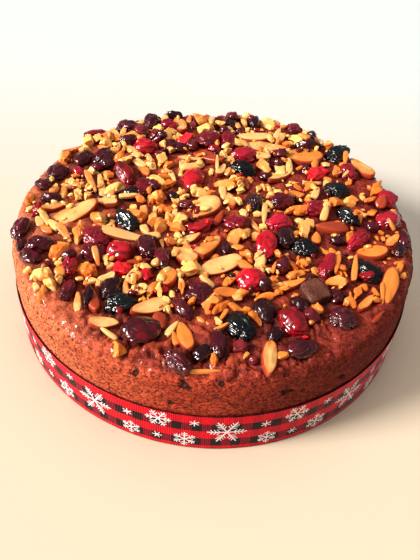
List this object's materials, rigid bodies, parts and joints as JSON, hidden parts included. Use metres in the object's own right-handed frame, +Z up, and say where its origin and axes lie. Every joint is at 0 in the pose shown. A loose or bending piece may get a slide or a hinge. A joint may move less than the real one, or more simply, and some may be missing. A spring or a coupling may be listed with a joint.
{
  "type": "fruit cake",
  "caption": "Round fruit cake with a brown crust, nuts and dried and glazed fruit baked into its top, and a red and black checked ribbon with snowflakes round its side.",
  "frame": {"origin": "middle of the underside, where the cake rests", "axes": "+Z up out of the top, -Y towards the front of the cake, the ribbon's lap at +Y"},
  "size_m": [0.1992, 0.2, 0.0564],
  "materials": {
    "crust": "baked brown crumb, matt with fine pores on the side and a thin glaze on the top",
    "ribbon": "ribbed grosgrain, red and black check printed with white snowflakes",
    "cherry": "glazed bright red cherry, wet gloss",
    "cranberry": "dried dark crimson berry, wrinkled and glossy",
    "prune": "black wrinkled skin with sharp highlights",
    "raisin": "purple brown wrinkled skin, satin",
    "almond": "toasted cream nut with a thin brown skin at the edge",
    "walnut": "toasted golden nut, lumpy and dry",
    "candied": "clear red candied fruit, sticky gloss",
    "date": "dark brown chopped date, dull"
  },
  "bodies": {
    "root": {"cake": "crust", "ribbon": "ribbon", "cherry_1": "cherry", "cherry_2": "cherry", "cherry_3": "cherry", "cherry_4": "cherry", "cherry_5": "cherry", "cherry_6": "cherry", "cherry_7": "cherry", "cherry_8": "cherry", "cherry_9": "cherry", "cranberry_1": "cranberry", "cranberry_2": "cranberry", "cranberry_3": "cranberry", "cranberry_4": "cranberry", "cranberry_5": "cranberry", "cranberry_6": "cranberry", "cranberry_7": "cranberry", "cranberry_8": "cranberry", "prune_1": "prune", "prune_2": "prune", "prune_3": "prune", "prune_4": "prune", "prune_5": "prune", "prune_6": "prune", "prune_7": "prune", "prune_8": "prune", "prune_9": "prune", "prune_10": "prune", "prune_11": "prune", "prune_12": "prune", "raisin_1": "raisin", "raisin_2": "raisin", "raisin_3": "raisin", "almond_1": "almond", "almond_2": "almond", "almond_3": "almond", "almond_4": "almond", "almond_5": "almond", "almond_6": "almond", "almond_7": "almond", "almond_8": "almond", "almond_9": "almond", "almond_10": "almond", "almond_11": "almond", "almond_12": "almond", "almond_13": "almond", "almond_14": "almond", "almond_15": "almond", "almond_16": "almond", "almond_17": "almond", "almond_18": "almond", "almond_19": "almond", "walnut_1": "walnut", "walnut_2": "walnut", "walnut_3": "walnut", "walnut_4": "walnut", "candied_1": "candied", "candied_2": "candied", "date_1": "date"}
  },
  "joints": []
}
